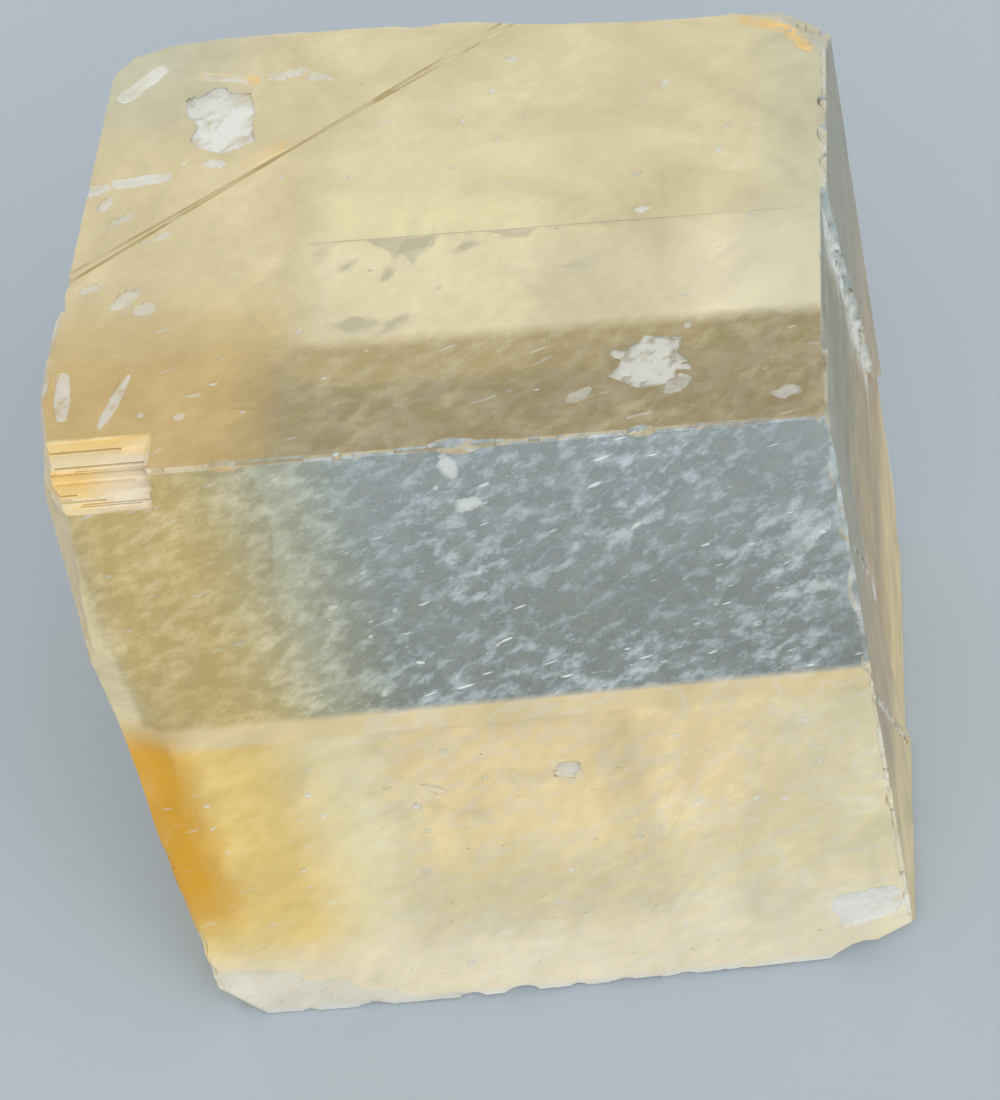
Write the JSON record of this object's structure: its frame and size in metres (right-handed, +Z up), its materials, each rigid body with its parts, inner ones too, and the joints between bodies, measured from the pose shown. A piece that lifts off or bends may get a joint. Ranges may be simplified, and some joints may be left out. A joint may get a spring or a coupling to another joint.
{
  "type": "calcite specimen",
  "caption": "Clear honey-yellow cleavage rhomb of calcite with worn, chipped edges and corners, resting on one of its flat faces.",
  "frame": {"origin": "centre of the base face, a parallelogram, on the surface that the crystal rests on", "axes": "+X along the front edge to the right, +Y to the back, +Z up; the depth edge leans 11.9 degrees from +Y to +X, and the rise edge leans up to the left and back"},
  "size_m": [0.0637, 0.0493, 0.0449],
  "materials": {
    "honey_calcite": "clear honey-yellow crystal with flat, glossy cleavage faces, fine scratches and white bruises"
  },
  "bodies": {
    "root": {"calcite_rhomb": "honey_calcite"}
  },
  "joints": []
}
